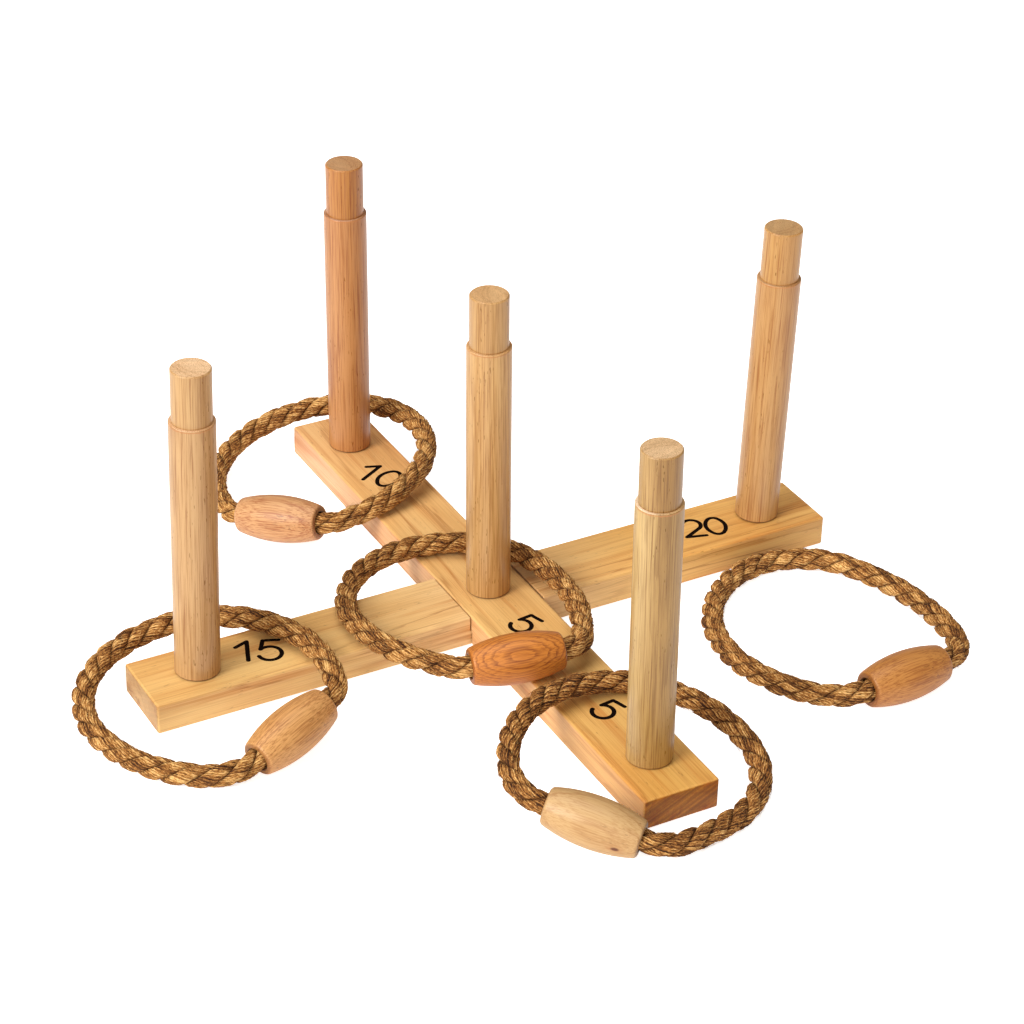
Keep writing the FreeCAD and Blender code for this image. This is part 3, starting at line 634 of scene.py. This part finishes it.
class RopeBuilder:
    """Collects one ring's strands and loose fibres in that ring's place."""

    def __init__(self, ring, seed):
        self.ring = ring
        self.rng = np.random.default_rng(seed)
        self.stations, line = loop_line(ring, STATION)
        origin, along, far = (np.array(v) for v in ring_frame(ring))
        normal = np.cross(along, far)
        tangent = np.gradient(line, axis=0)
        tangent /= np.linalg.norm(tangent, axis=1)[:, None]
        inward = np.stack([-tangent[:, 1], tangent[:, 0]], 1)
        self.line = origin + MM * (line[:, :1] * along + line[:, 1:] * far)
        self.inward = inward[:, :1] * along + inward[:, 1:] * far
        self.up = np.broadcast_to(normal, self.line.shape)
        total = self.stations[-1]
        clear = np.minimum(self.stations, total - self.stations) - STRAIGHT
        self.loose = np.clip(clear / 8, 0, 1)
        self.phase = self.rng.uniform(0, 2 * math.pi)
        self.points, self.faces, self.fibre, self.depth, self.tone = [], [], [], [], []
        self.size = 0

    def strand_angle(self, strand, station):
        """Where a strand's axis lies round the rope. It turns backwards: a left-hand lay."""
        return self.phase + 2 * math.pi * (strand / 3 - station / LAY)

    def add(self, points, faces, fibre, depth, tone):
        self.points.append(points)
        self.faces.extend(faces)
        self.fibre.append(fibre)
        self.depth.append(depth)
        self.tone.append(tone)
        self.size += len(points)

    def add_strand(self, strand):
        x, y, turn, groove = strand_section(self.rng, self.stations, self.loose)
        angle = self.strand_angle(strand, self.stations)[:, None]
        across = x * np.cos(angle) - y * np.sin(angle)
        upwards = x * np.sin(angle) + y * np.cos(angle)
        points = (self.line[:, None] + MM * (across[..., None] * self.inward[:, None]
                                             + upwards[..., None] * self.up[:, None]))
        rings, count = x.shape
        along = np.broadcast_to(self.stations[:, None], x.shape)
        round_y = np.broadcast_to(STRAND_WIDTH * np.cos(turn), x.shape)
        round_z = np.broadcast_to(STRAND_WIDTH * np.sin(turn) + 40.0 * strand, x.shape)
        fibre = np.stack([along, round_y, round_z], -1).reshape(-1, 3)
        depth = (ROPE_RADIUS - np.hypot(x, y)).reshape(-1)
        yarn_tone = self.rng.random(YARNS).repeat(YARN_STEPS)
        # Painted shade: each yarn's groove lowers its tone
        tone = np.broadcast_to(yarn_tone + ROPE_TONES[self.ring], x.shape) - 0.9 * groove
        self.add(points.reshape(-1, 3), tube_faces(self.size, rings, count), fibre, depth,
                 tone.reshape(-1))

    def add_whisker(self):
        """A loose fibre: rooted in a strand's crown, it runs along the rope and stands off."""
        rng = self.rng
        steps = 5
        sides = 3
        total = self.stations[-1]
        start = rng.uniform(STRAIGHT + 10, total - STRAIGHT - 10)
        length = rng.uniform(3, 11) * rng.choice([-1, 1])
        share = np.linspace(0, 1, steps)
        along = np.clip(start + length * share, 0, total)
        root = self.strand_angle(rng.integers(3), start) + rng.uniform(-0.5, 0.5)
        angle = root + rng.normal(0, 0.35) * share
        lift = 2.4 * rng.random() ** 2 * share ** rng.uniform(1.0, 2.2)
        radius = ROPE_RADIUS - 0.25 + lift
        centre = self.between(self.line, along)
        outward = (self.between(self.inward, along) * np.cos(angle)[:, None]
                   + self.between(self.up, along) * np.sin(angle)[:, None])
        spine = centre + MM * radius[:, None] * outward
        if not clear_of_ground(spine):
            return
        forward = np.gradient(spine, axis=0)
        forward /= np.linalg.norm(forward, axis=1)[:, None]
        aside = np.cross(forward, outward)
        aside /= np.linalg.norm(aside, axis=1)[:, None]
        thick = MM * rng.uniform(0.08, 0.15) * (1.0 - 0.6 * share)
        turns = 2 * math.pi * np.arange(sides) / sides
        points = (spine[:, None] + thick[:, None, None] * (
            np.cos(turns)[None, :, None] * outward[:, None]
            + np.sin(turns)[None, :, None] * aside[:, None])).reshape(-1, 3)
        flat = np.zeros(len(points))
        fibre = np.column_stack([along.repeat(sides), flat, flat + rng.uniform(0, 90)])
        self.add(points, tube_faces(self.size, steps, sides), fibre, flat,
                 flat + rng.uniform(-0.8, 1.2))

    def between(self, values, station):
        return np.stack([np.interp(station, self.stations, values[:, i]) for i in range(3)], 1)

    def build(self):
        mesh = bpy.data.meshes.new(f"laid_rope_{self.ring}")
        mesh.from_pydata(np.vstack(self.points).tolist(), [], self.faces)
        mesh.polygons.foreach_set("use_smooth", [True] * len(mesh.polygons))
        fibre = mesh.attributes.new("fibre_space", "FLOAT_VECTOR", "POINT")
        fibre.data.foreach_set("vector", np.vstack(self.fibre).reshape(-1))
        for name, values in (("depth", self.depth), ("tone", self.tone)):
            layer = mesh.attributes.new(name, "FLOAT", "POINT")
            layer.data.foreach_set("value", np.concatenate(values))
        piece = bpy.data.objects.new(f"laid_rope_{self.ring}", mesh)
        bpy.context.scene.collection.objects.link(piece)
        return piece


BAR_BOXES = [[np.array(corner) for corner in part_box(bar)] for bar in BAR_LOOKS]


def clear_of_ground(points):
    """True if no point is under the ground or inside one of the bars."""
    margin = 0.3 * MM
    if points[:, 2].min() < margin:
        return False
    for low, high in BAR_BOXES:
        inside = np.all((points > low - margin) & (points < high + margin), axis=1)
        if inside.any():
            return False
    return True


def rope_material():
    """Natural fibre: straw highlights on brown yarns, painted shade in creases and grooves."""
    shader = Shader("twisted_jute")
    grain = shader.parts(shader.attribute("fibre_space", "Vector"))
    depth = shader.attribute("depth")
    tone = shader.attribute("tone")
    # tone is each yarn's own tone less the painted shade in its grooves
    value = shader.total(shader.product(shader.grain_noise(grain, 0.36, 1.6, 3.0, 0.75), 0.62),
                         shader.product(shader.grain_noise(grain, 0.12, 0.8, 2.0, 0.6), 0.23),
                         shader.product(shader.grain_noise(grain, 0.03, 0.12), 0.15),
                         shader.product(shader.less(tone, 0.1), 0.11))
    # Painted shade in the deep creases between the strands, broken up by noise
    crease_shade = shader.product(shader.fade(depth, 1.1, 3.0),
                            shader.fade(shader.grain_noise(grain, 0.11, 0.7), 0.35, 0.58))
    specks = shader.fade(shader.grain_noise(grain, 0.20, 0.55, 1.0), 0.71, 0.75)
    colour = shader.lay(shader.ramp(value, *ROPE_COLOURS), ROPE_CREASE_SHADE, crease_shade, 0.68)
    colour = shader.lay(colour, ROPE_SPECK, specks, 0.85)
    height = shader.grain_noise(grain, 0.25, 3.0, 3.0, 0.7)
    return shader.finish(Base_Color=colour, Roughness=0.85, Specular_IOR_Level=0.20,
                         Normal=shader.bump(height, 0.7, 0.7 * MM))


def make_ropes():
    material = rope_material()
    for seed, ring in enumerate(RINGS):
        builder = RopeBuilder(ring, seed)
        for strand in range(3):
            builder.add_strand(strand)
        for _ in range(WHISKERS):
            builder.add_whisker()
        piece = builder.build()
        piece.data.materials.append(material)
        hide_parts(f"rope_{ring}")
        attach(piece, f"ring_{ring}")


def knotted(shader, colour, grain):
    """Darken a small oval knot and the fibres round it."""
    offsets = [shader.less(value, centre) for value, centre in zip(grain, KNOT)]
    offsets[0] = shader.product(offsets[0], 0.5)
    distance = shader.vectors("LENGTH", shader.point(*offsets))
    colour = shader.lay(colour, KNOT_HALO, shader.inverse(shader.fade(distance, 1.5, 5.0)), 0.5)
    return shader.lay(colour, KNOT_CORE, shader.inverse(shader.fade(distance, 1.2, 2.3)), 0.92)


def shaded_bore(shader, colour, grain):
    """Painted shade: darken the bore and its mouth round the rope, where little light comes."""
    reach = shader.vectors("LENGTH", shader.point(0.0, grain[1], grain[2]))
    inner = shader.inverse(shader.fade(reach, ROPE_RADIUS + 0.4, ROPE_RADIUS + 1.6))
    return shader.lay(colour, BORE_SHADE, inner, 0.85)


def dress_beads():
    for ring in RINGS:
        centre, along, far = ring_frame(ring)

        def special(shader, colour, grain, knot=ring == KNOT_RING):
            if knot:
                colour = knotted(shader, colour, grain)
            return shaded_bore(shader, colour, grain)

        dress(f"bead_{ring}", wood(f"bead_{ring}_wood", centre, along, far, sheen=0.38,
                                   extra=special, **BEAD_LOOKS[ring]))


# The studio

def make_floor():
    """A pale square, a little under the ground so that nothing lies in it."""
    mesh = bpy.data.meshes.new("floor")
    half = 30.0
    level = -0.2 * MM
    corners = [(-half, -half), (half, -half), (half, half), (-half, half)]
    mesh.from_pydata([(x, y, level) for x, y in corners], [], [(0, 1, 2, 3)])
    floor = bpy.data.objects.new("floor", mesh)
    bpy.context.scene.collection.objects.link(floor)
    shader = Shader("pale_floor")
    seen = shader.tree.nodes.new("ShaderNodeLightPath").outputs["Is Camera Ray"]
    glow = shader.total(0.26, shader.product(seen, 0.5))
    mesh.materials.append(shader.finish(Base_Color=(0.95, 0.95, 0.95, 1.0), Roughness=0.9,
                                        Emission_Color=(1.0, 1.0, 1.0, 1.0),
                                        Emission_Strength=glow))


def sun_light(name, place, strength, spread):
    """Soft even light from the direction of a place; spread is its apparent size in degrees."""
    data = bpy.data.lights.new(name, "SUN")
    data.energy = strength
    data.angle = math.radians(spread)
    light = bpy.data.objects.new(name, data)
    bpy.context.scene.collection.objects.link(light)
    light.location = place
    light.rotation_euler = (-Vector(place)).to_track_quat("-Z", "Y").to_euler()


def make_lights():
    """A broad light from the left, two weaker ones, and a studio that looks white."""
    sun_light("key", (-2.6, -0.5, 1.7), 2.95, 30)
    sun_light("front", (-1.2, -2.8, 1.6), 0.90, 45)
    sun_light("top", (-0.3, 0.5, 3.0), 1.45, 50)
    world = bpy.data.worlds.new("studio")
    world.use_nodes = True
    nodes = world.node_tree.nodes
    seen = nodes.new("ShaderNodeLightPath").outputs["Is Camera Ray"]
    choice = nodes.new("ShaderNodeMix")
    choice.data_type = "RGBA"
    world.node_tree.links.new(seen, choice.inputs[0])
    choice.inputs[6].default_value = (0.23, 0.214, 0.189, 1.0)
    choice.inputs[7].default_value = (1.0, 1.0, 1.0, 1.0)
    world.node_tree.links.new(choice.outputs[2], nodes["Background"].inputs["Color"])
    bpy.context.scene.world = world
    bpy.context.scene.view_settings.view_transform = "Standard"


def make_camera():
    """A long lens, 29 degrees to the left of the upper bar's line and 32 degrees above it."""
    azimuth, elevation, roll = (math.radians(angle) for angle in (-28.75, 32.15, 1.15))
    ahead = Vector((-math.sin(azimuth) * math.cos(elevation),
                    math.cos(azimuth) * math.cos(elevation), -math.sin(elevation)))
    level = Vector((math.cos(azimuth), math.sin(azimuth), 0))
    above = level.cross(ahead)
    right = level * math.cos(roll) + above * math.sin(roll)
    above = above * math.cos(roll) - level * math.sin(roll)
    data = bpy.data.cameras.new("camera")
    data.sensor_width = 36.0
    data.lens = 107.56
    data.shift_x = 0.0210
    data.shift_y = 0.00685
    camera = bpy.data.objects.new("camera", data)
    bpy.context.scene.collection.objects.link(camera)
    turn = Matrix((right, above, -ahead)).transposed().to_4x4()
    aim = Vector((0.0240, 0.0425, 0.0600))
    distance = 2.4727
    camera.matrix_world = Matrix.Translation(aim - distance * ahead) @ turn
    bpy.context.scene.camera = camera


dress_bars()
dress_pegs()
dress_beads()
make_ropes()
make_floor()
make_lights()
make_camera()
